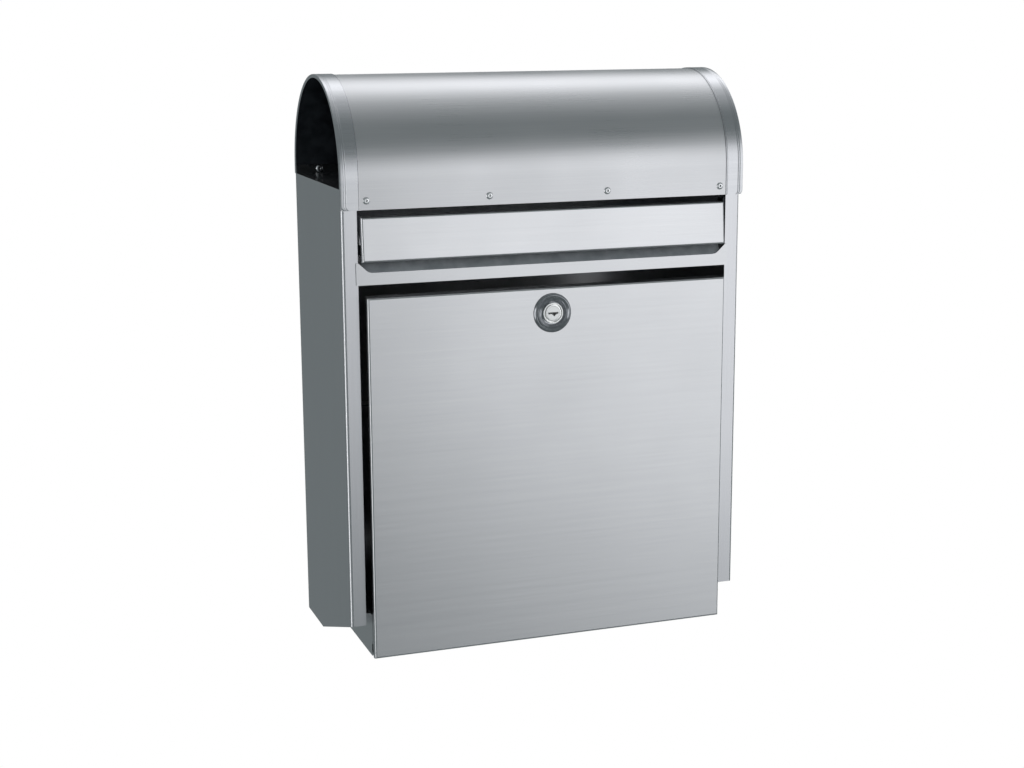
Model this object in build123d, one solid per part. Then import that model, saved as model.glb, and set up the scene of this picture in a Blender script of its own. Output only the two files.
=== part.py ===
"""Wall mounted mailbox of folded stainless sheet, with an open newspaper tube over a locked letter box.

Millimetres. +Z is up, the wall is the plane y = 0, and the front faces -Y.
The origin is the centre of the four wall screw holes, on the wall side of the back panel.
"""
import os
from math import cos, radians, sin

from build123d import *

# Sheet and body
SHEET = 1.0             # thickness of every folded sheet
BODY_W = 375.0          # over the two side panels
BODY_D = 167.5          # wall to the front face of the rails
BODY_H = 388.5          # foot of the rails to the top of the newspaper shelf
RAIL_W = 14.2           # width of the upright rails
RAIL_BEND = 3.0         # outside radius where a side panel folds into its rail
FLANGE_W = 15.0         # hidden flanges that join the sheets
SIDE_DROP = 36.0        # how far the side panels reach below the foot of the rails
SLOPE_RUN = 108.0       # depth over which their lower edge slopes down
SEAM = 0.3              # gap where two sheets meet edge to edge

# Wall screws
SCREW_RISE = 176.5      # centre of the screw pattern above the foot of the rails
SCREW_DX = 280.0        # hole to hole, across
SCREW_DZ = 300.0        # hole to hole, up
SCREW_HOLE = 6.5        # hole diameter

# Hood and its bands
HOOD_PROUD = 3.3        # front skirt ahead of the rails
HOOD_SKIRT = 17.7       # lower edge of the front skirt below the shelf's top
HOOD_SPRING = 7.9       # start of the arch above the shelf's top
BAND_W = 16.5
BAND_T = 0.8
BAND_LIP = 2.5          # lip of a band over the end of the hood sheet
BAND_CORNER = 4.0       # rounded outer corner at a band's foot

# Rivets
RIVET_R = 1.6           # shank
RIVET_HEAD_R = 3.2
RIVET_HEAD_H = 1.2
RIVET_DOME_R = 0.96     # rounding of the head's rim
RIVET_TAIL = 0.5        # shank left behind the sheets
RIVET_CORE_R = 0.7      # hole left by the broken mandrel
RIVET_PITCH = 110.4
RIVET_COUNT = 4         # in each row
RIVET_LIFT = 8.0        # front row above the hood's lower edge

# Flap
FLAP_SIDE_GAP = 2.8     # flap to rail
FLAP_TOP_GAP = 6.8      # under the hood's lower edge
FLAP_H = 38.6
FLAP_TILT = 4.5         # degrees that the flap's foot stands out
FLAP_BEND = 1.8         # outside radius of its folded corners
FLAP_TOP_FLANGE = 14.0
FLAP_FOOT_FLANGE = 3.0
FLAP_EAR = 14.0         # depth of the ears at the pivot
FLAP_EAR_FOOT = 4.0     # depth of the ears at the flap's foot
FLAP_PIVOT_IN = 8.0     # pivot behind the flap's face
FLAP_PIVOT_DROP = 4.5   # pivot below the flap's top edge
FLAP_PIVOT_Y = 5.0      # pivot behind the rails' front face
FLAP_ROD_R = 2.0
FLAP_BRACKET_T = 1.2
FLAP_BRACKET_H = 16.0
FLAP_BRACKET_D = 10.0   # depth of the bracket behind the rail's back
STOP_ARM_DROP = 19.0    # stop tab's top below the pivot
STOP_TAB_H = 9.0
STOP_TAB_W = 12.5       # how far the stop tab reaches in from the bracket
STOP_TAB_BACK = 2.9     # stop tab behind the rail's front

# Crossbar
BAR_H = 19.3            # full height, at the ends
BAR_SCOOP = 8.8         # depth of the finger scoop
BAR_LAP = 1.9           # how far the bar laps over each rail
SCOOP_TOP_GAP = 2.0     # end of the bar beside the scoop's top corner
SCOOP_SLANT = 9.5       # run of the slanted ends of the scoop
SCOOP_R = 8.0
BAR_FOOT_FLANGE = 4.0
LIP_RUN = 10.0          # letter guide behind the scoop, run and rise
LIP_RISE = 13.4
LIP_END_GAP = 4.2       # letter guide's ends inside the scoop's top corners

# Door
DOOR_SIDE_GAP = 4.7     # door to rail
DOOR_TOP_GAP = 10.0     # under the crossbar
DOOR_DROP = 28.7        # below the foot of the rails
DOOR_PROUD = 11.0       # face ahead of the rails
DOOR_DEPTH = 5.5        # depth of its folded edge
DOOR_TOP_FLANGE = 15.0  # deeper flange along its top edge
DOOR_BEND = 1.8         # outside radius of its folded edge
PIVOT_RISE = 5.0        # door pivot above the door's lower edge
PIVOT_IN = 4.5          # door pivot behind the door's face
DOOR_ROD_R = 1.5
EYE_R = 3.2             # outside radius of the hinge eyes and knuckles
KNUCKLE_L = 16.0
KNUCKLE_PAD = 4.8       # height of the pad that joins a knuckle to the door
HINGE_X = 150.0         # outer face of the hinge brackets
HINGE_T = 2.0
HINGE_ARM_W = 4.0       # thickness of the arm where it hooks over the swinging edge
HINGE_ARM_D = 17.0      # depth of the arm behind the rod
SWING_CLEAR = 0.5       # pan to the circle that the door's lower edge swings through

# Floor pan
PAN_CHEEK_RISE = 10.0   # cheeks above the foot of the rails
PAN_FRONT_GAP = 1.4     # cheeks behind the door's folded edge
PAN_GAP = 0.2           # pan's underside below the door's lower edge

# Stops
BUMPER_R = 3.5
STOP_T = 1.5
STOP_RISE = 200.0       # door stops above the foot of the rails
STOP_FOOT = 20.0        # height of their foot on the side panel
STOP_ARM_D = 14.0       # depth of a door stop's tongue behind the rail's bend
TOUCH = 0.3             # clearance between bodies that rest on each other

# Lock
LOCK_DROP = 22.4        # lock centre below the door's top edge
ROSE_R = 17.6           # escutcheon
ROSE_RIM_R = 16.2
ROSE_RIM_H = 2.4
ROSE_BASE = 0.8
ROSE_DISH_R = 10.4
LOCK_FACE_R = 9.35
LOCK_FACE_H = 1.8
BARREL_R = 8.0
BARREL_L = 16.0         # behind the door's face
PLUG_R = 6.2
KEYWAY_W = 9.5
KEYWAY_H = 1.6
KEYWAY_DEPTH = 12.0
WARD_W = 4.6            # wedge below the keyway
WARD_H = 2.2
WARD_X = 0.9            # its point, right of the middle
SQUARE = 8.0            # square end of the plug, in the cam
CAM_T = 2.0
CAM_GAP = 0.5           # cam behind the barrel
CAM_HUB_R = 9.0
CAM_TIP_R = 6.0
CAM_REACH = 44.0
NUT_FLATS = 22.0
NUT_H = 4.0
CAM_SCREW_R = 2.0
CAM_SCREW_HEAD_R = 5.0
CAM_SCREW_HEAD_H = 2.4
CAM_SCREW_L = 8.0
STRIKE_W = 40.0
STRIKE_T = 1.5
STRIKE_BEHIND = 1.0     # strike in front of the cam
STRIKE_H = 9.0

# Fits
RUN_FIT = 0.05          # radial clearance of a turning fit
HOLE_FIT = 0.2          # radial clearance of a hole that only lets a piece through
AXIAL = 1.0             # play along a hinge rod
WASHER_RIM = 0.8        # push-on washers on the flap's rod
WASHER_T = 1.0

# Places worked out from the sizes above
HALF_W = BODY_W / 2
FRONT = -BODY_D
FOOT = -SCREW_RISE
SHELF_TOP = FOOT + BODY_H
OPEN_X = HALF_W - RAIL_W
FLAP_X = OPEN_X - FLAP_SIDE_GAP
PANEL_X = OPEN_X - DOOR_SIDE_GAP

HOOD_FRONT = FRONT - HOOD_PROUD
HOOD_R = (-BAND_T - HOOD_FRONT) / 2
HOOD_Y = HOOD_FRONT + HOOD_R
HOOD_Z = SHELF_TOP + HOOD_SPRING
HOOD_LOW = SHELF_TOP - HOOD_SKIRT
HOOD_REAR_LOW = SHELF_TOP + SEAM
FRONT_RIVET_Z = HOOD_LOW + RIVET_LIFT
REAR_RIVET_Z = SHELF_TOP + HOOD_SPRING / 2

FLAP_TOP = HOOD_LOW - FLAP_TOP_GAP
FLAP_PIVOT = (FRONT + FLAP_PIVOT_Y, FLAP_TOP - FLAP_PIVOT_DROP)

BAR_TOP = FLAP_TOP - FLAP_H
BAR_LOW = BAR_TOP - BAR_H
SCOOP_LOW = BAR_TOP - BAR_SCOOP
BAR_X = OPEN_X + BAR_LAP

DOOR_TOP = BAR_LOW - DOOR_TOP_GAP
DOOR_LOW = FOOT - DOOR_DROP
DOOR_FACE = FRONT - DOOR_PROUD
DOOR_BACK = DOOR_FACE + DOOR_DEPTH
DOOR_PIVOT = (DOOR_FACE + PIVOT_IN, DOOR_LOW + PIVOT_RISE)
DOOR_SWING = ((DOOR_DEPTH - PIVOT_IN) ** 2 + PIVOT_RISE ** 2) ** 0.5

PAN_LOW = DOOR_LOW - PAN_GAP
PAN_NOSE = DOOR_PIVOT[0] + DOOR_SWING + SWING_CLEAR
PAN_FRONT = DOOR_BACK + PAN_FRONT_GAP

LOCK_Z = DOOR_TOP - LOCK_DROP
CAM_FRONT = DOOR_FACE + BARREL_L + CAM_GAP
CAM_BACK = CAM_FRONT + CAM_T


def slab(x0, x1, y0, y1, z0, z1):
    """A block between two corners."""
    return Pos((x0 + x1) / 2, (y0 + y1) / 2, (z0 + z1) / 2) * Box(x1 - x0, y1 - y0, z1 - z0)


def outline_x(points, x0, x1):
    """A plate between x0 and x1 whose outline is given as (y, z) points."""
    return extrude(Plane.YZ.offset(x0) * make_face(Polyline(*points, close=True)), x1 - x0)


def outline_y(points, y0, y1):
    """A plate between y0 and y1 whose outline is given as (x, z) points."""
    plane = Plane(origin=(0, y1, 0), x_dir=(1, 0, 0), z_dir=(0, -1, 0))
    return extrude(plane * make_face(Polyline(*points, close=True)), y1 - y0)


def rod_x(radius, x0, x1, y, z):
    """A round bar along X."""
    return Pos((x0 + x1) / 2, y, z) * Rot(0, 90, 0) * Cylinder(radius, x1 - x0)


def rod_y(radius, y0, y1, x, z):
    """A round bar along Y."""
    return Pos(x, (y0 + y1) / 2, z) * Rot(90, 0, 0) * Cylinder(radius, y1 - y0)


def mirrored(shape):
    """The right-hand twin of a left-hand piece."""
    return mirror(shape, Plane.YZ)


def turned(points, y, z):
    """A ring turned about the lock's axis from (radius, height) points, its heights counted towards -Y."""
    plane = Plane(origin=(0, y, z), x_dir=(1, 0, 0), z_dir=(0, 0, 1))
    section = Polyline(*[(r, -h) for r, h in points], close=True)
    return revolve(plane * make_face(section), Axis((0, y, z), (0, 1, 0)))


def left_front_upright(shape):
    """The upright edge at a shape's left front corner."""
    front_edges = shape.edges().filter_by(Axis.Z).sort_by(Axis.Y)[:2]
    return front_edges.sort_by(Axis.X)[0]


# The body

def back_panel():
    panel = slab(-HALF_W, HALF_W, -SHEET, 0, FOOT - SIDE_DROP, SHELF_TOP)
    for x in (-SCREW_DX / 2, SCREW_DX / 2):
        for z in (-SCREW_DZ / 2, SCREW_DZ / 2):
            panel -= rod_y(SCREW_HOLE / 2, -2 * SHEET, SHEET, x, z)
    return panel


def left_side_panel():
    """One sheet: rear flange, side and front rail, with a flange under the newspaper shelf."""
    top = SHELF_TOP - SHEET
    low = FOOT - SIDE_DROP
    rear = -SHEET
    outside = slab(-HALF_W, -HALF_W + RAIL_W, FRONT, rear, low, top)
    outside = fillet(left_front_upright(outside), RAIL_BEND)
    inside = slab(-HALF_W + SHEET, 0, FRONT + SHEET, rear - SHEET, low, top - SHEET)
    inside = fillet(left_front_upright(inside), RAIL_BEND - SHEET)
    side_view = outline_x(
        [(FRONT, FOOT), (FRONT + SLOPE_RUN, low), (rear, low), (rear, top), (FRONT, top)],
        -HALF_W,
        -HALF_W + FLANGE_W,
    )
    return (outside - inside) & side_view


def floor_pan():
    """Letter compartment's floor, with cheeks that flare out to the side panels."""
    rear = -SHEET
    floor_top = PAN_LOW + SHEET
    cheek_top = FOOT + PAN_CHEEK_RISE
    shoulder = PAN_NOSE - DOOR_PIVOT[0]
    inside_x = HALF_W - SHEET
    pan = slab(-PANEL_X, PANEL_X, PAN_NOSE, rear, PAN_LOW, floor_top)
    pan += slab(-PANEL_X, PANEL_X, rear - SHEET, rear, floor_top, floor_top + FLANGE_W)
    cheek = outline_x(
        [
            (PAN_NOSE, PAN_LOW),
            (rear, PAN_LOW),
            (rear, cheek_top),
            (PAN_FRONT, cheek_top),
            (PAN_FRONT, DOOR_PIVOT[1] + 2 * shoulder),
            (PAN_NOSE, DOOR_PIVOT[1] + shoulder),
        ],
        -PANEL_X,
        -PANEL_X + SHEET,
    )
    wing_front = FRONT + RAIL_BEND
    wing = slab(-inside_x, -PANEL_X, wing_front, rear - SHEET, cheek_top - SHEET, cheek_top)
    wing += slab(-inside_x, -inside_x + SHEET, wing_front, rear - SHEET, cheek_top, cheek_top + FLANGE_W)
    side = cheek + wing
    return pan + side + mirrored(side)


def newspaper_shelf():
    front = HOOD_FRONT + SHEET
    rear = -BAND_T - SHEET
    low = HOOD_LOW + SHEET
    shelf = slab(-HALF_W, HALF_W, front, rear, SHELF_TOP - SHEET, SHELF_TOP)
    shelf += slab(-HALF_W + RAIL_W, HALF_W - RAIL_W, front, front + SHEET, low, SHELF_TOP)
    shelf += slab(-HALF_W, HALF_W, rear - SHEET, rear, SHELF_TOP, HOOD_Z)
    return drilled_for_rivets(shelf)


def strike_plate():
    rear = CAM_FRONT - STRIKE_BEHIND
    low = BAR_LOW + SHEET
    plate = slab(-STRIKE_W / 2, STRIKE_W / 2, FRONT, rear, low, low + STRIKE_T)
    return plate + slab(-STRIKE_W / 2, STRIKE_W / 2, rear - STRIKE_T, rear, low, low + STRIKE_H)


def crossbar():
    """Bar lapped over the rails: scooped plate, foot flange and the letter guide behind the scoop."""
    scoop_x = BAR_X - SCOOP_TOP_GAP
    scoop_flat_x = scoop_x - SCOOP_SLANT
    plate = outline_y(
        [
            (-BAR_X, BAR_LOW),
            (BAR_X, BAR_LOW),
            (BAR_X, BAR_TOP),
            (scoop_x, BAR_TOP),
            (scoop_flat_x, SCOOP_LOW),
            (-scoop_flat_x, SCOOP_LOW),
            (-scoop_x, BAR_TOP),
            (-BAR_X, BAR_TOP),
        ],
        FRONT - SHEET,
        FRONT,
    )
    scoop_corners = plate.edges().filter_by(Axis.Y).filter_by_position(Axis.Z, SCOOP_LOW, SCOOP_LOW)
    plate = fillet(scoop_corners, SCOOP_R)
    plate += slab(-OPEN_X + SHEET, OPEN_X - SHEET, FRONT, FRONT + BAR_FOOT_FLANGE, BAR_LOW, BAR_LOW + SHEET)
    guide_x = scoop_x - LIP_END_GAP
    guide_top = SCOOP_LOW + LIP_RISE
    guide = outline_x(
        [
            (FRONT - SHEET, SCOOP_LOW - SHEET),
            (FRONT, SCOOP_LOW - SHEET),
            (FRONT + LIP_RUN, guide_top - SHEET),
            (FRONT + LIP_RUN, guide_top),
            (FRONT - SHEET, SCOOP_LOW),
        ],
        -guide_x,
        guide_x,
    )
    return plate + guide


# The hood

def arch(radius, thickness, front_low, rear_low, x0, x1):
    """A sheet that rises in front, arches over and comes down at the back."""
    ring = Circle(radius) - Circle(radius - thickness)
    upper_half = Pos(0, radius) * Rectangle(3 * radius, 2 * radius)
    section = Pos(HOOD_Y, HOOD_Z) * (ring & upper_half)
    tube = extrude(Plane.YZ.offset(x0) * section, x1 - x0)
    front = slab(x0, x1, HOOD_Y - radius, HOOD_Y - radius + thickness, front_low, HOOD_Z)
    rear = slab(x0, x1, HOOD_Y + radius - thickness, HOOD_Y + radius, rear_low, HOOD_Z)
    return tube + front + rear


def rivet_xs():
    return [RIVET_PITCH * (i - (RIVET_COUNT - 1) / 2) for i in range(RIVET_COUNT)]


def drilled_for_rivets(sheet):
    """Holes for the front row through the skirt, and for the rear row through the shelf's upstand."""
    for x in rivet_xs():
        sheet -= rod_y(RIVET_R, HOOD_FRONT - SHEET, HOOD_FRONT + 3 * SHEET, x, FRONT_RIVET_Z)
        sheet -= rod_y(RIVET_R, -BAND_T - 3 * SHEET, 0, x, REAR_RIVET_Z)
    return sheet


def hood_sheet():
    sheet = arch(HOOD_R, SHEET, HOOD_LOW, HOOD_REAR_LOW, -HALF_W, HALF_W)
    return drilled_for_rivets(sheet)


def left_hood_band():
    """Raised band on the hood's end, with a lip over the sheet's edge."""
    outer_x = -HALF_W - BAND_T
    radius = HOOD_R + BAND_T
    band = arch(radius, BAND_T, HOOD_LOW, HOOD_REAR_LOW, outer_x, outer_x + BAND_W)
    band += arch(radius, BAND_T + BAND_LIP, HOOD_REAR_LOW, HOOD_REAR_LOW, outer_x, outer_x + BAND_T)
    foot_edges = band.edges().filter_by(Axis.Y).sort_by(Axis.Z)[:2].sort_by(Axis.X)[0]
    return fillet(foot_edges, BAND_CORNER)


def hood_rivets():
    """Blind rivets: the front row is set from outside, the rear row from inside the tube."""
    rear_face = -BAND_T - 2 * SHEET
    rivets = [rivet(x, HOOD_FRONT, FRONT_RIVET_Z) for x in rivet_xs()]
    rivets += [rivet(x, rear_face, REAR_RIVET_Z) for x in rivet_xs()]
    return Compound(children=rivets)


def rivet(x, face, z):
    """Domed head in front of face, and a shank through the two sheets behind it."""
    dome = rod_y(RIVET_HEAD_R, face - RIVET_HEAD_H, face, x, z)
    rim = dome.edges().filter_by(GeomType.CIRCLE).sort_by(Axis.Y)[0]
    dome = fillet(rim, RIVET_DOME_R)
    core = rod_y(RIVET_CORE_R, face - 2 * RIVET_HEAD_H, face, x, z)
    return dome + rod_y(RIVET_R, face, face + 2 * SHEET + RIVET_TAIL, x, z) - core


# The letter flap and its hinge

def flap_frame():
    """Puts a shape drawn about the flap's pivot, with its face upright, into its place."""
    return Pos(0, *FLAP_PIVOT) * Rot(-FLAP_TILT, 0, 0)


def letter_flap():
    """Tray-shaped flap, drawn about its pivot: face, top and foot flanges, and an ear at each end."""
    face = -FLAP_PIVOT_IN
    top = FLAP_PIVOT_DROP
    low = top - FLAP_H
    flap = slab(-FLAP_X, FLAP_X, face, face + SHEET, low, top)
    flap += slab(-FLAP_X, FLAP_X, face, face + FLAP_TOP_FLANGE, top - SHEET, top)
    flap += slab(-FLAP_X, FLAP_X, face, face + FLAP_FOOT_FLANGE, low, low + SHEET)
    ear_back = face + FLAP_EAR
    ear_foot = face + FLAP_EAR_FOOT
    ear = outline_x(
        [
            (face, low),
            (face, top),
            (ear_back, top),
            (ear_back, -top),
            (ear_foot, SHEET - STOP_ARM_DROP),
            (ear_foot, low),
        ],
        -FLAP_X,
        -FLAP_X + SHEET,
    )
    flap += ear + mirrored(ear)
    corners = flap.edges().filter_by_position(Axis.Y, face, face)
    flap = fillet(corners, FLAP_BEND)
    flap -= rod_x(FLAP_ROD_R + RUN_FIT, -HALF_W, HALF_W, 0, 0)
    return flap_frame() * flap


def flap_inside_y(z):
    """Where the closed flap's inner face is at a height."""
    tilt = radians(FLAP_TILT)
    inner = SHEET - FLAP_PIVOT_IN
    along = (z - FLAP_PIVOT[1] + inner * sin(tilt)) / cos(tilt)
    return FLAP_PIVOT[0] + inner * cos(tilt) + along * sin(tilt)


def left_flap_bracket():
    """Angle behind the rail with a hole for the flap's rod, and an arm that ends in the flap's stop tab."""
    y, z = FLAP_PIVOT
    plate_x = -OPEN_X + AXIAL
    inner_x = plate_x + FLAP_BRACKET_T
    rail_back = FRONT + SHEET
    leg_back = rail_back + FLAP_BRACKET_D
    low = z - FLAP_BRACKET_H / 2
    high = z + FLAP_BRACKET_H / 2
    tab_y = FRONT + STOP_TAB_BACK
    tab_top = z - STOP_ARM_DROP
    foot = slab(-HALF_W + RAIL_BEND, inner_x, rail_back, rail_back + FLAP_BRACKET_T, low, high)
    leg = slab(plate_x, inner_x, rail_back, leg_back, low, high)
    arm = slab(plate_x, inner_x, tab_y, leg_back, tab_top - STOP_TAB_H, low)
    tab = slab(plate_x, inner_x + STOP_TAB_W, tab_y, tab_y + FLAP_BRACKET_T, tab_top - STOP_TAB_H, tab_top)
    return foot + leg + arm + tab - rod_x(FLAP_ROD_R, -HALF_W, 0, y, z)


def flap_rod():
    reach = OPEN_X - AXIAL + WASHER_T + AXIAL / 2
    return rod_x(FLAP_ROD_R, -reach, reach, *FLAP_PIVOT)


def flap_rod_washers():
    """Push-on washers outside the brackets."""
    y, z = FLAP_PIVOT
    outer = -OPEN_X + AXIAL
    disc = rod_x(FLAP_ROD_R + WASHER_RIM, outer - WASHER_T, outer, y, z)
    washer = disc - rod_x(FLAP_ROD_R, -HALF_W, 0, y, z)
    return Compound(children=[washer, mirrored(washer)])


def flap_bumpers():
    """Rubber buttons on the brackets' stop tabs, under the closed flap's inner face."""
    z = FLAP_PIVOT[1] - STOP_ARM_DROP - STOP_TAB_H / 2
    tab_y = FRONT + STOP_TAB_BACK
    front = flap_inside_y(z + BUMPER_R) + TOUCH
    bumper_x = OPEN_X - AXIAL - FLAP_BRACKET_T - STOP_TAB_W + BUMPER_R
    return Compound(children=[rod_y(BUMPER_R, front, tab_y, x, z) for x in (-bumper_x, bumper_x)])


# The door and its hinge

def door_panel():
    """Shallow tray with folded edges, a deeper flange along its top and a hole for the lock."""
    tray = slab(-PANEL_X, PANEL_X, DOOR_FACE, DOOR_BACK, DOOR_LOW, DOOR_TOP)
    tray = fillet(tray.faces().sort_by(Axis.Y)[0].edges(), DOOR_BEND)
    inner_x = PANEL_X - SHEET
    inner_face = DOOR_FACE + SHEET
    flange_back = DOOR_FACE + DOOR_TOP_FLANGE
    tray -= slab(-inner_x, inner_x, inner_face, DOOR_BACK, DOOR_LOW + SHEET, DOOR_TOP - SHEET)
    tray += slab(-inner_x, inner_x, DOOR_BACK - SHEET, flange_back, DOOR_TOP - SHEET, DOOR_TOP)
    return tray - rod_y(BARREL_R + HOLE_FIT, DOOR_FACE - SHEET, DOOR_BACK, 0, LOCK_Z)


def left_door_knuckle():
    """Tube round the rod on a pad that is welded inside the door's face."""
    y, z = DOOR_PIVOT
    outer = -HINGE_X + HINGE_T + AXIAL
    knuckle = rod_x(EYE_R, outer, outer + KNUCKLE_L, y, z)
    pad_low = z + EYE_R - KNUCKLE_PAD
    knuckle += slab(outer, outer + KNUCKLE_L, DOOR_FACE + SHEET, y, pad_low, z + EYE_R)
    return knuckle - rod_x(DOOR_ROD_R + RUN_FIT, -HALF_W, 0, y, z)


def left_hinge_bracket():
    """Eye for the door's rod on an arm that clears the swinging edge, with a foot on the floor pan."""
    y, z = DOOR_PIVOT
    shoulder = PAN_NOSE - y + SWING_CLEAR
    floor_top = PAN_LOW + SHEET
    arm_top = z + shoulder + EYE_R
    arm_rear = y + HINGE_ARM_D
    arm_under = arm_top - HINGE_ARM_W
    eye = rod_x(EYE_R, -HINGE_X, -HINGE_X + HINGE_T, y, z)
    arm = outline_x(
        [
            (y - EYE_R / 2, z),
            (y - EYE_R / 2, z + EYE_R / 2),
            (y + EYE_R, arm_top),
            (arm_rear, arm_top),
            (arm_rear, floor_top),
            (y + shoulder, floor_top),
            (y + shoulder, arm_under),
            (y + EYE_R / 2, z),
        ],
        -HINGE_X,
        -HINGE_X + HINGE_T,
    )
    foot = slab(-HINGE_X, -HINGE_X + FLANGE_W, y + shoulder, arm_rear, floor_top, floor_top + HINGE_T)
    return eye + arm + foot - rod_x(DOOR_ROD_R, -HALF_W, 0, y, z)


def door_hinge_rod():
    reach = HINGE_X + WASHER_T + AXIAL / 2
    return rod_x(DOOR_ROD_R, -reach, reach, *DOOR_PIVOT)


def door_rod_washers():
    """Push-on washers outside the brackets."""
    y, z = DOOR_PIVOT
    washer = rod_x(EYE_R, -HINGE_X - WASHER_T, -HINGE_X, y, z) - rod_x(DOOR_ROD_R, -HALF_W, 0, y, z)
    return Compound(children=[washer, mirrored(washer)])


def stop_pad_x():
    """Distance of a door stop's pad from the box's middle."""
    return PANEL_X - SHEET - 2 * BUMPER_R


def left_door_stop():
    """Flat tongue from the side panel that ends behind the door's face."""
    z = FOOT + STOP_RISE
    wall_x = -HALF_W + SHEET
    pad_x = -stop_pad_x()
    front = FRONT + RAIL_BEND
    rear = front + STOP_ARM_D
    tongue = slab(wall_x, pad_x + BUMPER_R, front, rear, z - STOP_T / 2, z + STOP_T / 2)
    tongue += slab(pad_x - BUMPER_R, pad_x + BUMPER_R, DOOR_BACK, rear, z - STOP_T / 2, z + STOP_T / 2)
    foot = slab(wall_x, wall_x + STOP_T, front, rear, z - STOP_FOOT / 2, z + STOP_FOOT / 2)
    nose = slab(pad_x - BUMPER_R, pad_x + BUMPER_R, DOOR_BACK, DOOR_BACK + STOP_T, z - BUMPER_R, z + BUMPER_R)
    return tongue + foot + nose


def door_bumpers():
    """Rubber buttons on the noses of the door stops."""
    z = FOOT + STOP_RISE
    inner_face = DOOR_FACE + SHEET
    buttons = [rod_y(BUMPER_R, inner_face + TOUCH, DOOR_BACK, x, z) for x in (-stop_pad_x(), stop_pad_x())]
    return Compound(children=buttons)


# The lock

def lock_escutcheon():
    """Dished ring clamped under the lock's face."""
    bore = BARREL_R + HOLE_FIT
    crest = ROSE_BASE / 2
    return turned(
        [
            (bore, 0),
            (ROSE_R, 0),
            (ROSE_R, ROSE_BASE),
            (ROSE_RIM_R + crest, ROSE_RIM_H),
            (ROSE_RIM_R - crest, ROSE_RIM_H),
            (ROSE_DISH_R, ROSE_BASE),
            (bore, ROSE_BASE),
        ],
        DOOR_FACE,
        LOCK_Z,
    )


def lock_housing():
    """Flanged barrel, bored for the plug."""
    bore = PLUG_R + RUN_FIT
    face = ROSE_BASE + LOCK_FACE_H
    edge = ROSE_BASE / 2
    return turned(
        [
            (bore, -BARREL_L),
            (BARREL_R, -BARREL_L),
            (BARREL_R, ROSE_BASE),
            (LOCK_FACE_R, ROSE_BASE),
            (LOCK_FACE_R, face - edge),
            (LOCK_FACE_R - edge, face),
            (bore, face),
        ],
        DOOR_FACE,
        LOCK_Z,
    )


def lock_nut():
    """Thin hexagon nut behind the door."""
    inner_face = DOOR_FACE + SHEET
    hexagon = RegularPolygon(NUT_FLATS / 2, 6, major_radius=False)
    nut = Pos(0, inner_face + NUT_H, LOCK_Z) * Rot(90, 0, 0) * extrude(hexagon, NUT_H)
    return nut - rod_y(BARREL_R, inner_face - SHEET, inner_face + 2 * NUT_H, 0, LOCK_Z)


def lock_plug():
    """Turning core: keyway with a wedge-shaped ward in front, square end in the cam, tapped for its screw."""
    face = DOOR_FACE - ROSE_BASE - LOCK_FACE_H
    shoulder = DOOR_FACE + BARREL_L
    plug = rod_y(PLUG_R, face, CAM_FRONT, 0, LOCK_Z)
    plug += slab(-SQUARE / 2, SQUARE / 2, shoulder, CAM_BACK, LOCK_Z - SQUARE / 2, LOCK_Z + SQUARE / 2)
    keyway_low = LOCK_Z - KEYWAY_H / 2
    plug -= outline_y(
        [
            (-KEYWAY_W / 2, LOCK_Z + KEYWAY_H / 2),
            (KEYWAY_W / 2, LOCK_Z + KEYWAY_H / 2),
            (KEYWAY_W / 2, keyway_low),
            (WARD_X + WARD_W / 2, keyway_low),
            (WARD_X, keyway_low - WARD_H),
            (WARD_X - WARD_W / 2, keyway_low),
            (-KEYWAY_W / 2, keyway_low),
        ],
        face,
        face + KEYWAY_DEPTH,
    )
    return plug - rod_y(CAM_SCREW_R, CAM_BACK - CAM_SCREW_L, CAM_BACK, 0, LOCK_Z)


def lock_cam():
    """Tongue on the plug's square end, lying across the box when the lock is open."""
    hub = rod_y(CAM_HUB_R, CAM_FRONT, CAM_BACK, 0, LOCK_Z)
    tip_x = -CAM_REACH + CAM_TIP_R
    tip = rod_y(CAM_TIP_R, CAM_FRONT, CAM_BACK, tip_x, LOCK_Z)
    arm = outline_y(
        [
            (0, LOCK_Z - CAM_HUB_R),
            (0, LOCK_Z + CAM_HUB_R),
            (tip_x, LOCK_Z + CAM_TIP_R),
            (tip_x, LOCK_Z - CAM_TIP_R),
        ],
        CAM_FRONT,
        CAM_BACK,
    )
    square = slab(-SQUARE / 2, SQUARE / 2, CAM_FRONT, CAM_BACK, LOCK_Z - SQUARE / 2, LOCK_Z + SQUARE / 2)
    return hub + tip + arm - square


def cam_screw():
    head = rod_y(CAM_SCREW_HEAD_R, CAM_BACK, CAM_BACK + CAM_SCREW_HEAD_H, 0, LOCK_Z)
    return head + rod_y(CAM_SCREW_R, CAM_BACK - CAM_SCREW_L, CAM_BACK, 0, LOCK_Z)


SINGLE = [
    back_panel, floor_pan, newspaper_shelf, strike_plate, crossbar, hood_sheet, hood_rivets,
    letter_flap, flap_rod, flap_rod_washers, flap_bumpers,
    door_panel, door_hinge_rod, door_rod_washers, door_bumpers,
    lock_escutcheon, lock_housing, lock_nut, lock_plug, lock_cam, cam_screw,
]
HANDED = [
    left_side_panel, left_hood_band, left_flap_bracket, left_door_knuckle, left_hinge_bracket, left_door_stop,
]

os.makedirs("parts", exist_ok=True)
for make in SINGLE:
    export_step(make(), f"parts/{make.__name__}.step")
for make in HANDED:
    left = make()
    export_step(left, f"parts/{make.__name__}.step")
    export_step(mirrored(left), f"parts/{make.__name__.replace('left_', 'right_')}.step")
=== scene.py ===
"""Looks of the wall mounted mailbox: brushed stainless sheet, its lock and its fittings."""

from math import cos, pi, radians, sin, sqrt, tan

import bmesh
import bpy
from mathutils import Matrix, Vector


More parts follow.
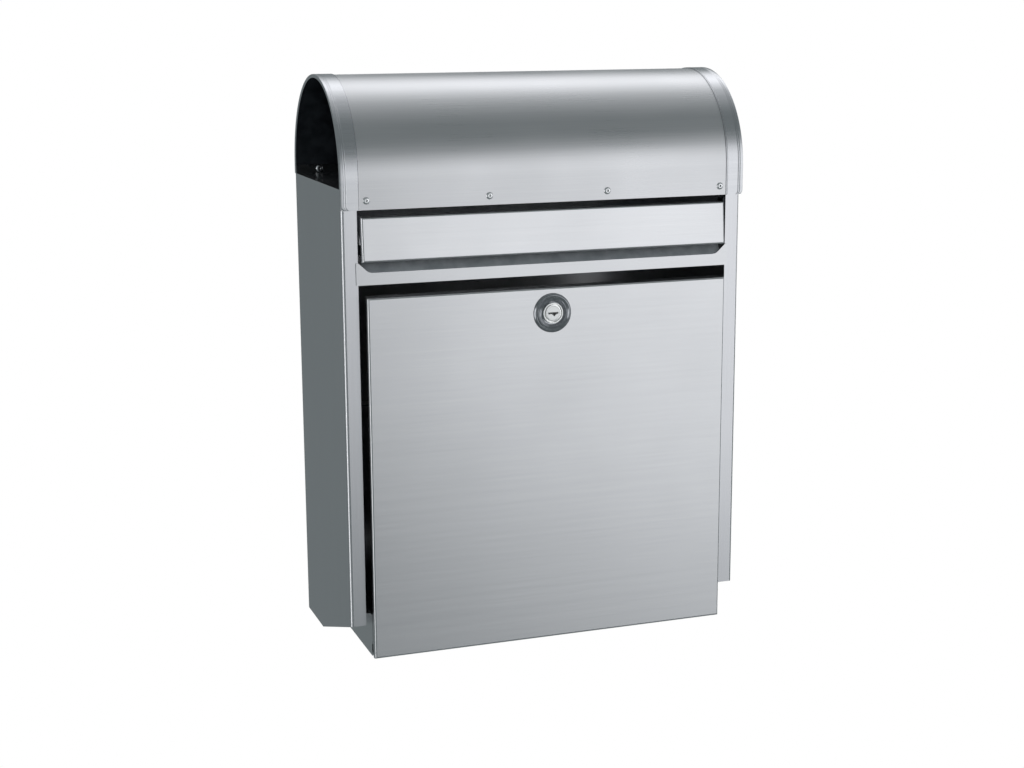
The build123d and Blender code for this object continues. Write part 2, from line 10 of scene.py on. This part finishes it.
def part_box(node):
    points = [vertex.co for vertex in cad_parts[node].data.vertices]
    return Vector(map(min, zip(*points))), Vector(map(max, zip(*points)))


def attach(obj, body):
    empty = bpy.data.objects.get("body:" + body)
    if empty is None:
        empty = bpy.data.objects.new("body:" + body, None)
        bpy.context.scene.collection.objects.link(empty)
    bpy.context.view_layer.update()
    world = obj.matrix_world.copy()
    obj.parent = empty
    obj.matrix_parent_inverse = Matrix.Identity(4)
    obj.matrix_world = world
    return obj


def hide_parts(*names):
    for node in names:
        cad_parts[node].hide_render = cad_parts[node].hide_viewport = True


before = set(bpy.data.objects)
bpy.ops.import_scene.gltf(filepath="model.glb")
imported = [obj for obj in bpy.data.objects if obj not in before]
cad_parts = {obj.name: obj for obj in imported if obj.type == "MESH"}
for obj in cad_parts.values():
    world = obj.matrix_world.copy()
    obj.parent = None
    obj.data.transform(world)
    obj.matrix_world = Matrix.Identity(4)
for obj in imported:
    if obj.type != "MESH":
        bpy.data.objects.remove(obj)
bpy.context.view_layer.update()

MM = 0.001
SHEET = 1.0 * MM         # thickness of the body's sheets

# Camera
CAMERA_PLACE = (-0.5477, -1.6188, 0.3625)
CAMERA_TURN = 19.48      # degrees to the right of straight at the wall
CAMERA_DIP = 12.08       # degrees down
CAMERA_ROLL = -0.30
LENS = 62.0

# Studio
FLOOR_DROP = 1.20        # floor below the screw pattern's centre, as on a real wall
SWEEP_RADIUS = 10.0      # floor and backdrop are one big bowl

# Light tent: big soft white panels in even grey surroundings. Each panel has its middle and
# half size in degrees (turn to the right, tilt up from straight in front), the softness of its
# edge, and its brightness.
SURROUNDINGS = 0.235
PANELS = (
    ("round_front_panel", (43, 0), (33.5, 25.5), 0.28, 1.12),
    ("left_strip", (-62, -8), (15, 42), 0.5, 1.05),
    ("low_front_panel", (6, 0), (24, 8), 0.5, 0.16),
    ("ceiling_panel", (20, 105), (90, 23), 0.98, 0.48),
    ("strip_above_and_behind", (20, 125), (90, 15), 0.88, 1.28),
)

# Soft boxes beside and behind the mailbox: name, place, size, brightness
SOFT_BOXES = (
    ("right_box", (2.6, 0.9, 0.4), (1.3, 1.7), 0.5),
    ("rear_box", (1.9, 1.9, -0.6), (1.6, 1.6), 0.8),
    ("left_box", (-2.6, -0.9, -0.3), (1.0, 2.2), 1.1),
)


# Small tools

def linear(hex_colour):
    """An sRGB hex colour as linear RGBA."""
    channels = [int(hex_colour[i:i + 2], 16) / 255 for i in (0, 2, 4)]
    return [c / 12.92 if c <= 0.04045 else ((c + 0.055) / 1.055) ** 2.4 for c in channels] + [1.0]


def add(tree, kind, links=None, values=None, **settings):
    """A node with its settings, its socket values and its incoming links."""
    made = tree.nodes.new(kind)
    for name, value in settings.items():
        setattr(made, name, value)
    for socket, value in (values or {}).items():
        made.inputs[socket].default_value = value
    for socket, source in (links or {}).items():
        tree.links.new(source, made.inputs[socket])
    return made


def new_material(name):
    """An empty node material and its tree."""
    material = bpy.data.materials.new(name)
    material.use_nodes = True
    material.node_tree.nodes.clear()
    return material, material.node_tree


# Materials

def brushed_sheet(name, along, light, dark, smooth, rough, line=0.5, anisotropy=0.6):
    """Stainless sheet ground with a belt: long scratches that stretch each reflection across the grain.

    The real scratches are about 0.1 mm wide. They are drawn some 0.5 mm wide, because finer ones don't show.
    """
    material, tree = new_material(name)
    place = add(tree, "ShaderNodeTexCoord")
    scale = [1 / (line * MM)] * 3
    scale["XYZ".index(along)] = 1 / (70 * MM)
    grain_place = add(tree, "ShaderNodeMapping", {"Vector": place.outputs["Object"]}, {"Scale": scale})
    grain = add(tree, "ShaderNodeTexNoise", {"Vector": grain_place.outputs[0]},
                {"Scale": 1.0, "Detail": 3.0, "Roughness": 0.7})
    wide = [s / 9 for s in scale]
    wide_place = add(tree, "ShaderNodeMapping", {"Vector": place.outputs["Object"]}, {"Scale": wide})
    streak = add(tree, "ShaderNodeTexNoise", {"Vector": wide_place.outputs[0]},
                 {"Scale": 1.0, "Detail": 2.0})
    cloud = add(tree, "ShaderNodeTexNoise", {"Vector": place.outputs["Object"]},
                {"Scale": 9.0, "Detail": 3.0})
    mixed = add(tree, "ShaderNodeMix", {2: grain.outputs[0], 3: streak.outputs[0]}, {0: 0.3})
    tone = add(tree, "ShaderNodeValToRGB", {0: mixed.outputs[0]})
    tone.color_ramp.elements[0].position = 0.25
    tone.color_ramp.elements[0].color = linear(dark)
    tone.color_ramp.elements[1].position = 0.75
    tone.color_ramp.elements[1].color = linear(light)
    worn = add(tree, "ShaderNodeMix", {2: mixed.outputs[0], 3: cloud.outputs[0]}, {0: 0.6})
    gloss = add(tree, "ShaderNodeMapRange", {0: worn.outputs[0]}, {1: 0.3, 2: 0.7, 3: smooth, 4: rough})
    ridge = add(tree, "ShaderNodeBump", {"Height": grain.outputs[0]},
                {"Strength": 0.08, "Distance": 0.01 * MM})
    direction = [0.0, 0.0, 0.0]
    direction["XYZ".index(along)] = 1.0
    tangent = add(tree, "ShaderNodeCombineXYZ", values=dict(enumerate(direction)))
    steel = add(tree, "ShaderNodeBsdfPrincipled",
                {"Base Color": tone.outputs[0], "Roughness": gloss.outputs[0], "Normal": ridge.outputs[0],
                 "Tangent": tangent.outputs[0]},
                {"Metallic": 1.0, "Anisotropic": anisotropy, "Anisotropic Rotation": 0.25})
    add(tree, "ShaderNodeOutputMaterial", {"Surface": steel.outputs[0]})
    return material


def plated_metal(name, light, dark, smooth, rough, patch, bump=0.1):
    """Plated or plain small metal: a faintly mottled coat, patchy over a few millimetres."""
    material, tree = new_material(name)
    place = add(tree, "ShaderNodeTexCoord")
    cloud = add(tree, "ShaderNodeTexNoise", {"Vector": place.outputs["Object"]},
                {"Scale": 1 / (patch * MM), "Detail": 4.0, "Roughness": 0.6})
    tone = add(tree, "ShaderNodeValToRGB", {0: cloud.outputs[0]})
    tone.color_ramp.elements[0].position = 0.35
    tone.color_ramp.elements[0].color = linear(dark)
    tone.color_ramp.elements[1].position = 0.65
    tone.color_ramp.elements[1].color = linear(light)
    gloss = add(tree, "ShaderNodeMapRange", {0: cloud.outputs[0]}, {1: 0.3, 2: 0.7, 3: smooth, 4: rough})
    fine = add(tree, "ShaderNodeTexNoise", {"Vector": place.outputs["Object"]}, {"Scale": 1 / (0.4 * MM)})
    ridge = add(tree, "ShaderNodeBump", {"Height": fine.outputs[0]},
                {"Strength": bump, "Distance": 0.03 * MM})
    metal = add(tree, "ShaderNodeBsdfPrincipled",
                {"Base Color": tone.outputs[0], "Roughness": gloss.outputs[0], "Normal": ridge.outputs[0]},
                {"Metallic": 1.0})
    add(tree, "ShaderNodeOutputMaterial", {"Surface": metal.outputs[0]})
    return material


def moulded_rubber(name):
    """Black rubber from a mould: matt, with a fine pebbled skin and a greyish bloom."""
    material, tree = new_material(name)
    place = add(tree, "ShaderNodeTexCoord")
    pebble = add(tree, "ShaderNodeTexNoise", {"Vector": place.outputs["Object"]},
                 {"Scale": 1 / (0.35 * MM), "Detail": 2.0})
    bloom = add(tree, "ShaderNodeTexNoise", {"Vector": place.outputs["Object"]},
                {"Scale": 1 / (3 * MM), "Detail": 3.0})
    tone = add(tree, "ShaderNodeValToRGB", {0: bloom.outputs[0]})
    tone.color_ramp.elements[0].color = linear("17181A")
    tone.color_ramp.elements[1].color = linear("2C2D2F")
    gloss = add(tree, "ShaderNodeMapRange", {0: bloom.outputs[0]}, {3: 0.6, 4: 0.85})
    ridge = add(tree, "ShaderNodeBump", {"Height": pebble.outputs[0]},
                {"Strength": 0.3, "Distance": 0.05 * MM})
    rubber = add(tree, "ShaderNodeBsdfPrincipled",
                 {"Base Color": tone.outputs[0], "Roughness": gloss.outputs[0], "Normal": ridge.outputs[0]},
                 {"IOR": 1.52})
    add(tree, "ShaderNodeOutputMaterial", {"Surface": rubber.outputs[0]})
    return material


HOOD_STEEL = brushed_sheet("stainless_hood_brushed_along", "X", "D0D0D1", "C4C4C6", 0.25, 0.33)
FRONT_STEEL = brushed_sheet("stainless_front_brushed_across", "X", "D0D0D1", "C5C5C7", 0.20, 0.27)
SIDE_STEEL = brushed_sheet("stainless_side_brushed_upright", "Z", "CFCFD1", "C3C3C6", 0.20, 0.28)
BAND_STEEL = brushed_sheet("stainless_band_brushed_along", "X", "CECED0", "BEBFC2", 0.18, 0.26)
# Rougher steel for the hood's inside; its dark grey colour is painted shade for the shaded inside of the
# tube
TUBE_PAINTED_SHADE = plated_metal("stainless_tube_inside_painted_shade", "4A4E54", "3A3D43", 0.45, 0.60, 12.0)
MILL_STEEL = plated_metal("stainless_mill_finish", "CFD2D5", "BCC0C4", 0.70, 0.80, 9.0)
# Near-black painted shade: flap brackets, door stops, flap rod, washers and rivet holes are coloured dark to
# read as the shadow in the gaps
PAINTED_SHADE_ZINC = plated_metal("zinc_painted_shade_black", "3B3D40", "2B2D30", 0.35, 0.50, 5.0)
ZINC = plated_metal("zinc_plated_steel", "BFC2C4", "9EA2A6", 0.30, 0.48, 6.0)
RIVET_METAL = plated_metal("stainless_rivet", "EDEDEE", "DCDDDE", 0.22, 0.32, 1.5)
BLACK_CHROME = plated_metal("black_chrome_turned", "A9ABAE", "96989C", 0.10, 0.16, 2.0, bump=0.03)
NICKEL = plated_metal("nickel_plate_polished", "F0F0EF", "E0E0DF", 0.14, 0.24, 1.5, bump=0.05)
FROSTED_NICKEL = plated_metal("nickel_plate_blasted", "F4F4F3", "E4E4E3", 0.34, 0.46, 0.8, bump=0.4)
RUBBER = moulded_rubber("black_moulded_rubber")

NODE_FINISH = {
    FRONT_STEEL: ("door_panel", "floor_pan", "newspaper_shelf"),
    SIDE_STEEL: ("left_side_panel", "right_side_panel", "back_panel"),
    # The near-black zinc here is painted shade for the gaps round the flap and door
    PAINTED_SHADE_ZINC: ("left_flap_bracket", "right_flap_bracket", "left_door_stop", "right_door_stop"),
    ZINC: ("strike_plate", "left_hinge_bracket", "right_hinge_bracket", "left_door_knuckle",
           "right_door_knuckle", "lock_cam"),
    FROSTED_NICKEL: ("lock_plug",),
}


def dress_cad_nodes():
    """Finishes of the CAD nodes that stay on show; the near-black zinc on the brackets and stops is painted
    shade.
    """
    for finish, names in NODE_FINISH.items():
        for name in names:
            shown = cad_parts[name]
            shown.data.materials.clear()
            shown.data.materials.append(finish)


# Meshes

def place_piece(name, mesh, body, finish, replaced=(), smooth_angle=35):
    """Turns a bmesh in the row frame into a piece on its body."""
    bmesh.ops.remove_doubles(mesh, verts=mesh.verts, dist=0.0005 * MM)
    bmesh.ops.recalc_face_normals(mesh, faces=mesh.faces)
    data = bpy.data.meshes.new(name)
    mesh.to_mesh(data)
    mesh.free()
    data.shade_smooth()
    data.set_sharp_from_angle(angle=radians(smooth_angle))
    data.materials.append(finish)
    piece = bpy.data.objects.new(name, data)
    bpy.context.scene.collection.objects.link(piece)
    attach(piece, body)
    if replaced:
        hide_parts(*replaced)
    return piece


def skin(mesh, rings, closed_ring=True, closed_row=False):
    """Quads between neighbouring rings of points."""
    rows = [[mesh.verts.new(p) for p in ring] for ring in rings]
    pairs = list(zip(rows, rows[1:]))
    if closed_row:
        pairs.append((rows[-1], rows[0]))
    count = len(rows[0])
    for low, high in pairs:
        for i in range(count if closed_ring else count - 1):
            j = (i + 1) % count
            mesh.faces.new((low[i], low[j], high[j], high[i]))
    return rows


def turn_along(mesh, profile, centre, axis, segments=64):
    """A closed ring or disc turned about a line through centre, from (radius, height along axis) in mm."""
    axis = Vector(axis)
    side = axis.orthogonal().normalized()
    other = axis.cross(side)
    rings = []
    for radius, height in profile:
        ring = []
        for k in range(segments):
            a = 2 * pi * k / segments
            radial = side * cos(a) + other * sin(a)
            ring.append(Vector(centre) + (radial * radius + axis * height) * MM)
        rings.append(ring)
    skin(mesh, rings, closed_row=profile[0][0] > 0)


def hood_arch(corner, front_low, rear_low, steps=72):
    """Stations round the hood, front to rear: a point on the arch's middle line and the way out from it."""
    centre_y, centre_z = corner
    stations = []
    straight = 10
    for k in range(straight):
        z = front_low + (centre_z - front_low) * (k / straight) ** 2
        stations.append((Vector((0, centre_y, z)), Vector((0, -1, 0))))
    for k in range(steps + 1):
        a = pi * k / steps
        stations.append((Vector((0, centre_y, centre_z)), Vector((0, -cos(a), sin(a)))))
    stations.append((Vector((0, centre_y, rear_low)), Vector((0, 1, 0))))
    return stations


BAND_T = 0.8             # mm, from here to the end of the bands
BAND_FOOT_R = 4.0
BAND_SECTION = (         # distance from the outer face, height over the hood sheet
    (0.8, -2.5), (0.4, -2.5), (0.0, -2.3), (0.0, 0.40), (0.10, 0.64), (0.30, 0.76), (0.6, 0.8),
    (2.6, 0.8), (2.8, 0.62), (3.1, 0.50), (3.4, 0.62), (3.6, 0.8),
    (4.3, 0.8), (4.5, 0.62), (4.8, 0.50), (5.1, 0.62), (5.3, 0.8),
    (15.2, 0.8), (15.35, 0.55), (15.7, 0.45), (16.05, 0.55), (16.2, 0.8), (16.45, 0.78), (16.5, 0.6),
    (16.5, 0.02), (0.8, 0.02),
)


def hood_band(side):
    """Pressed band round the hood's end: two fine grooves near its outer edge, a lip over the sheet."""
    name = f"{side}_hood_band"
    low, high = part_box(name)
    sign = -1 if side == "left" else 1
    outer_x = low.x if side == "left" else high.x
    width = high.x - low.x
    outside = (high.y - low.y) / 2
    middle = ((high.y + low.y) / 2, high.z - outside)
    sheet_radius = outside - BAND_T * MM
    rear_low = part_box("back_panel")[1].z + 0.3 * MM
    mesh = bmesh.new()
    rings = []
    for point, out in hood_arch(middle, low.z, rear_low):
        rise = (point.z - low.z) / MM
        inset = 0.0
        if out.y < -0.999 and rise < BAND_FOOT_R:
            inset = BAND_FOOT_R - sqrt(BAND_FOOT_R ** 2 - (BAND_FOOT_R - rise) ** 2)
        ring = []
        for across, height in BAND_SECTION:
            u = inset + across * (1 - inset * MM / width)
            radius = sheet_radius + height * MM
            ring.append(point + out * radius + Vector((outer_x - sign * u * MM, 0, 0)))
        rings.append(ring)
    rows = skin(mesh, rings)
    for row in (rows[0], rows[-1]):
        mesh.faces.new(row)
    return place_piece(f"{name}_pressed", mesh, "housing", BAND_STEEL, [name])


def hood_sheet():
    """Rolled hood sheet, brushed outside; dull inside, where its dark grey colour is painted shade."""
    low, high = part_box("hood_sheet")
    outside = (high.y - low.y) / 2
    middle = ((high.y + low.y) / 2, high.z - outside)
    rear_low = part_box("back_panel")[1].z + 0.3 * MM
    mesh = bmesh.new()
    rings = []
    for point, out in hood_arch(middle, low.z, rear_low, 96):
        outer = point + out * outside
        inner = point + out * (outside - SHEET)
        left = Vector((low.x, 0, 0))
        right = Vector((high.x, 0, 0))
        rings.append([outer + left, outer + right, inner + right, inner + left])
    rows = skin(mesh, rings)
    for row in (rows[0], rows[-1]):
        mesh.faces.new(row)
    mesh.faces.ensure_lookup_table()
    # Outer face brushed; the inner face and the sheet's edges take the dark grey painted shade
    for index, face in enumerate(mesh.faces):
        face.material_index = 0 if index % 4 == 0 else 1
    piece = place_piece("hood_sheet_rolled", mesh, "housing", HOOD_STEEL,
                        ["hood_sheet"])
    piece.data.materials.append(TUBE_PAINTED_SHADE)
    return piece


def dull_inside(node, body, is_inside):
    """A copy of a folded CAD sheet, brushed on the faces in view and left in its mill finish inside."""
    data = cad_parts[node].data.copy()
    data.name = f"{node}_folded"
    data.materials.clear()
    data.materials.append(FRONT_STEEL)
    data.materials.append(MILL_STEEL)
    for face in data.polygons:
        face.material_index = 1 if is_inside(face) else 0
    piece = bpy.data.objects.new(f"{node}_folded", data)
    bpy.context.scene.collection.objects.link(piece)
    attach(piece, body)
    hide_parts(node)
    return piece


FLAP_TILT = 4.5          # degrees that the closed flap leans back
FLAP_BEND = 1.9          # mm behind the flap's face that its bends reach


def letter_flap():
    """Folded flap: brushed up to its bends, dull on the flanges, ears and back."""
    tilt = radians(FLAP_TILT)
    out = Vector((0, -cos(tilt), sin(tilt)))
    corners = [v.co.dot(out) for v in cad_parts["letter_flap"].data.vertices]
    bend = max(corners) - FLAP_BEND * MM

    def is_inside(face):
        return face.center.dot(out) < bend or face.normal.dot(out) < -0.1

    return dull_inside("letter_flap", "flap", is_inside)


def crossbar():
    """Folded crossbar: brushed plate in front, dull letter guide and flange behind."""
    plate_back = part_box("crossbar")[0].y + SHEET * 0.99
    return dull_inside("crossbar", "housing", lambda face: face.center.y > plate_back)


RIVET_PROFILE = (        # from the hole that the mandrel left to the head's rim
    (0, -1.2), (0.5, -1.25), (0.72, -1.4), (0.72, 0.78), (0.78, 0.95), (0.92, 1.06), (1.2, 1.16),
    (1.7, 1.13), (2.2, 1.02), (2.6, 0.85), (2.9, 0.62), (3.1, 0.36), (3.18, 0.16), (3.2, 0.0),
    (1.6, 0.0), (1.6, -2.5), (0, -2.5),
)
RIVET_HOLE_BANDS = 3     # of the profile's steps, those inside the hole
RIVET_HEAD_R = 3.2       # mm
RIVET_SIDES = 32
RIVETS_IN_A_ROW = 4
FRONT_HEAD_H = 1.2       # mm from the front heads' crowns to the sheet
REAR_GRIP = 2.5          # mm from the rear shanks' ends to the sheet


def rivets():
    """Blind rivets in two rows: domed heads with a hole where the mandrel broke off."""
    low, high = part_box("hood_rivets")
    head = RIVET_HEAD_R * MM
    first = low.x + head
    pitch = (high.x - low.x - 2 * head) / (RIVETS_IN_A_ROW - 1)
    mesh = bmesh.new()
    for y, z in ((low.y + FRONT_HEAD_H * MM, low.z + head), (high.y - REAR_GRIP * MM, high.z - head)):
        for k in range(RIVETS_IN_A_ROW):
            turn_along(mesh, RIVET_PROFILE, (first + k * pitch, y, z), (0, -1, 0), RIVET_SIDES)
    # The mandrel hole's faces take the near-black painted shade
    for index, face in enumerate(mesh.faces):
        band = index // RIVET_SIDES % (len(RIVET_PROFILE) - 1)
        face.material_index = 1 if band < RIVET_HOLE_BANDS else 0
    piece = place_piece("hood_rivets_domed", mesh, "housing", RIVET_METAL, ["hood_rivets"])
    piece.data.materials.append(PAINTED_SHADE_ZINC)
    return piece


def lock_centre():
    low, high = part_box("lock_escutcheon")
    return Vector(((low.x + high.x) / 2, high.y, (low.z + high.z) / 2))


def escutcheon():
    """Turned ring: rolled rim, and a dish with the lathe's steps in it."""
    profile = [(8.2, 0.02), (17.3, 0.02), (17.6, 0.3), (17.55, 0.9), (17.3, 1.35), (16.9, 1.75),
               (16.4, 2.15), (16.0, 2.36), (15.7, 2.4), (15.4, 2.3), (15.1, 2.05), (14.6, 1.6),
               (14.0, 1.15), (13.4, 0.8)]
    for k in range(3):
        start = 13.0 - k * 1.0
        profile += [(start, 0.95), (start - 0.3, 1.15), (start - 0.6, 1.05), (start - 0.8, 0.72)]
    profile += [(9.8, 0.66), (8.2, 0.66)]
    mesh = bmesh.new()
    turn_along(mesh, profile, lock_centre(), (0, -1, 0), 96)
    return place_piece("lock_escutcheon_turned", mesh, "door", BLACK_CHROME,
                       ["lock_escutcheon"], 25)


def housing_barrel():
    """Flanged lock barrel: polished flange with a dark ring groove, and a thread behind."""
    profile = [(6.25, -16.0), (7.4, -16.0), (7.9, -15.5)]
    pitch = 1.25
    turns = 10
    for k in range(turns):
        back = -15.2 + k * pitch
        profile += [(7.98, back), (7.98, back + 0.15), (7.35, back + 0.55), (7.35, back + 0.7),
                    (7.98, back + 1.1)]
    profile += [(7.95, 0.8), (9.25, 0.8), (9.35, 0.95), (9.35, 2.1), (9.25, 2.4), (9.0, 2.56), (8.7, 2.6),
                (8.4, 2.56), (8.25, 2.3), (8.2, 0.9), (7.45, 0.9), (7.4, 2.3), (7.3, 2.54), (7.1, 2.6),
                (6.5, 2.6), (6.35, 2.52), (6.25, 2.3)]
    mesh = bmesh.new()
    turn_along(mesh, profile, lock_centre(), (0, -1, 0), 96)
    return place_piece("lock_housing_turned", mesh, "door", NICKEL,
                       ["lock_housing"], 25)


def hexagon_nut():
    """Chamfered hexagon nut on the lock barrel."""
    low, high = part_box("lock_nut")
    centre = lock_centre()
    flats = min(high.x - low.x, high.z - low.z) / MM / 2
    height = (high.y - low.y) / MM
    turned_from_x = (high.x - low.x) > (high.z - low.z)
    steps = 96
    rings = [[] for _ in range(6)]
    for k in range(steps):
        a = 2 * pi * k / steps
        phase = a if turned_from_x else a + pi / 6
        corner = flats / cos((phase % (pi / 3)) - pi / 6)
        flat_face = min(corner, flats * 0.97)
        drop = (corner - flat_face) * tan(radians(30))
        spots = ((8.0, 0.0), (flat_face, 0.0), (corner, drop), (corner, height - drop),
                 (flat_face, height), (8.0, height))
        for ring, (radius, rise) in zip(rings, spots):
            across = radius * MM * cos(a)
            up = radius * MM * sin(a)
            ring.append(Vector((centre.x + across, low.y + rise * MM, centre.z + up)))
    mesh = bmesh.new()
    skin(mesh, rings, closed_row=True)
    return place_piece("lock_nut_chamfered", mesh, "door", ZINC, ["lock_nut"], 25)


def rod(name, body, finish):
    """Hinge rod with chamfered ends."""
    low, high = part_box(name)
    radius = (high.z - low.z) / MM / 2
    length = (high.x - low.x) / MM
    ease = 0.4
    profile = [(0, 0), (radius - ease, 0), (radius, ease), (radius, length - ease), (radius - ease, length),
               (0, length)]
    mesh = bmesh.new()
    turn_along(mesh, profile, (low.x, (low.y + high.y) / 2, (low.z + high.z) / 2), (1, 0, 0), 32)
    return place_piece(f"{name}_drawn", mesh, body, finish, [name])


def washers(name, body, bore, finish):
    """Push-on washers at both ends of a rod, dished towards their bores."""
    low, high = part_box(name)
    radius = (high.z - low.z) / MM / 2
    mesh = bmesh.new()
    middle = ((low.y + high.y) / 2, (low.z + high.z) / 2)
    for end, way in ((low.x, 1), (high.x, -1)):
        profile = [(bore, 0.02), (bore + 0.3, 0.0), (radius - 0.3, 0.25), (radius, 0.5), (radius, 0.95),
                   (radius - 0.1, 1.0), (bore, 1.0)]
        turn_along(mesh, profile, (end, *middle), (way, 0, 0), 32)
    return place_piece(f"{name}_pressed", mesh, body, finish, [name])


def bumpers(name):
    """Rubber buttons with rounded rims and a moulded dimple."""
    low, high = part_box(name)
    radius = (high.z - low.z) / MM / 2
    length = (high.y - low.y) / MM
    mesh = bmesh.new()
    middle_z = (low.z + high.z) / 2
    profile = [(0, 0), (radius, 0), (radius, length * 0.55), (radius * 0.94, length * 0.86),
               (radius * 0.8, length), (radius * 0.4, length * 0.985), (0, length * 0.9)]
    for x in (low.x + radius * MM, high.x - radius * MM):
        turn_along(mesh, profile, (x, high.y, middle_z), (0, -1, 0), 32)
    return place_piece(f"{name}_moulded", mesh, "housing", RUBBER, [name])


def cross_reach(a):
    """How far the cross recess reaches in one direction, in mm: its arms are 0.9 wide."""
    off_arm = abs((a + pi / 4) % (pi / 2) - pi / 4)
    return min(1.7 / cos(off_arm), 0.45 / max(sin(off_arm), 0.01))


def cam_screw():
    """Pan-headed screw with a cross recess, in the end of the plug."""
    low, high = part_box("cam_screw")
    centre = lock_centre()
    head_r = (high.z - low.z) / MM / 2
    head_h = 2.4
    total = (high.y - low.y) / MM
    rings = [[] for _ in range(11)]
    for k in range(96):
        a = 2 * pi * k / 96
        reach = cross_reach(a)
        spots = ((0, total), (2.0, total), (2.0, head_h), (head_r, head_h), (head_r, head_h * 0.62),
                 (head_r * 0.93, head_h * 0.32), (head_r * 0.8, head_h * 0.1), (head_r * 0.68, 0.0),
                 (reach, 0.0), (reach * 0.8, 1.1), (0, 1.3))
        for ring, (radius, depth) in zip(rings, spots):
            across = radius * MM * cos(a)
            up = radius * MM * sin(a)
            ring.append(Vector((centre.x + across, high.y - depth * MM, centre.z + up)))
    mesh = bmesh.new()
    skin(mesh, rings)
    return place_piece("cam_screw_head", mesh, "lock_core", ZINC, ["cam_screw"], 25)


# Studio

def sweep():
    """Pale floor that curves up into a dome all round, as one even white field."""
    mesh = bmesh.new()
    floor_z = -FLOOR_DROP / MM
    radius = SWEEP_RADIUS / MM
    rises = [radians(a) for a in range(6, 180, 6)]
    profile = [(0, 0)] + [(radius * sin(a), radius * (1 - cos(a))) for a in rises]
    turn_along(mesh, profile, (0, 0, floor_z * MM), (0, 0, 1), 64)
    bmesh.ops.remove_doubles(mesh, verts=mesh.verts, dist=MM)
    data = bpy.data.meshes.new("floor")
    mesh.to_mesh(data)
    mesh.free()
    white, tree = new_material("pale_floor")
    glow = add(tree, "ShaderNodeEmission", values={"Color": linear("FFFFFF"), "Strength": 1.0})
    add(tree, "ShaderNodeOutputMaterial", {"Surface": glow.outputs[0]})
    data.materials.append(white)
    floor = bpy.data.objects.new("floor", data)
    bpy.context.scene.collection.objects.link(floor)
    floor.visible_glossy = False
    floor.visible_diffuse = False
    floor.visible_shadow = False


def panel_glow(tree, turn, tilt, panel):
    """Brightness of one soft panel in each direction: full in the middle, with a smooth fall at its edge."""
    name, middle, half, softness, brightness = panel
    offsets = []
    for angle, centre, reach in zip((turn, tilt), middle, half):
        from_middle = add(tree, "ShaderNodeMath", {0: angle}, {1: centre}, operation="SUBTRACT")
        offsets.append(add(tree, "ShaderNodeMath", {0: from_middle.outputs[0]}, {1: reach},
                           operation="DIVIDE"))
    spot = add(tree, "ShaderNodeCombineXYZ", {0: offsets[0].outputs[0], 1: offsets[1].outputs[0]})
    radius = add(tree, "ShaderNodeVectorMath", {0: spot.outputs[0]}, operation="LENGTH")
    glow = add(tree, "ShaderNodeMapRange", {0: radius.outputs["Value"]},
               {1: 1 + softness, 2: 1 - softness, 3: 0.0, 4: brightness},
               interpolation_type="SMOOTHSTEP")
    glow.label = name
    return glow.outputs[0]


def light_tent():
    """World light: the grey surroundings and the soft panels."""
    world = bpy.data.worlds.new("light_tent")
    bpy.context.scene.world = world
    world.use_nodes = True
    tree = world.node_tree
    tree.nodes.clear()
    place = add(tree, "ShaderNodeTexCoord")
    way = add(tree, "ShaderNodeSeparateXYZ", {0: place.outputs["Generated"]})
    forward = add(tree, "ShaderNodeMath", {0: way.outputs["Y"]}, {1: -1.0}, operation="MULTIPLY")
    turn = add(tree, "ShaderNodeMath", {0: way.outputs["X"]}, operation="ARCSINE")
    tilt = add(tree, "ShaderNodeMath", {0: way.outputs["Z"], 1: forward.outputs[0]}, operation="ARCTAN2")
    angles = []
    for angle in (turn, tilt):
        in_degrees = add(tree, "ShaderNodeMath", {0: angle.outputs[0]}, operation="DEGREES")
        angles.append(in_degrees.outputs[0])
    total = panel_glow(tree, *angles, PANELS[0])
    for panel in PANELS[1:]:
        total = add(tree, "ShaderNodeMath", {0: total, 1: panel_glow(tree, *angles, panel)}).outputs[0]
    grey = add(tree, "ShaderNodeBackground", values={"Color": linear("EEFCFF"), "Strength": SURROUNDINGS})
    white = add(tree, "ShaderNodeBackground", {"Strength": total}, {"Color": linear("FCFCFF")})
    both = add(tree, "ShaderNodeAddShader", {0: grey.outputs[0], 1: white.outputs[0]})
    add(tree, "ShaderNodeOutputWorld", {"Surface": both.outputs[0]})


def soft_boxes():
    for name, place, size, brightness in SOFT_BOXES:
        data = bpy.data.lights.new(name, "AREA")
        data.shape = "RECTANGLE"
        data.size, data.size_y = size
        data.energy = brightness * size[0] * size[1] * pi
        box = bpy.data.objects.new(name, data)
        box.location = place
        box.rotation_mode = "QUATERNION"
        box.rotation_quaternion = (-Vector(place)).to_track_quat("-Z", "Y")
        box.visible_camera = False
        bpy.context.scene.collection.objects.link(box)


def camera():
    data = bpy.data.cameras.new("camera")
    data.lens = LENS
    data.clip_end = 60
    made = bpy.data.objects.new("camera", data)
    turn = Matrix.Rotation(-radians(CAMERA_TURN), 4, "Z")
    dip = Matrix.Rotation(radians(90 - CAMERA_DIP), 4, "X")
    roll = Matrix.Rotation(radians(CAMERA_ROLL), 4, "Z")
    made.matrix_world = Matrix.Translation(CAMERA_PLACE) @ turn @ dip @ roll
    bpy.context.scene.collection.objects.link(made)
    bpy.context.scene.camera = made


dress_cad_nodes()
hood_sheet()
letter_flap()
crossbar()
for hand in ("left", "right"):
    hood_band(hand)
rivets()
escutcheon()
housing_barrel()
hexagon_nut()
# The flap rod and its washers take the near-black painted shade
rod("flap_rod", "housing", PAINTED_SHADE_ZINC)
rod("door_hinge_rod", "housing", ZINC)
washers("flap_rod_washers", "housing", 2.0, PAINTED_SHADE_ZINC)
washers("door_rod_washers", "housing", 1.5, ZINC)
bumpers("flap_bumpers")
bumpers("door_bumpers")
cam_screw()
bpy.context.scene.view_settings.view_transform = "Standard"
sweep()
light_tent()
soft_boxes()
camera()
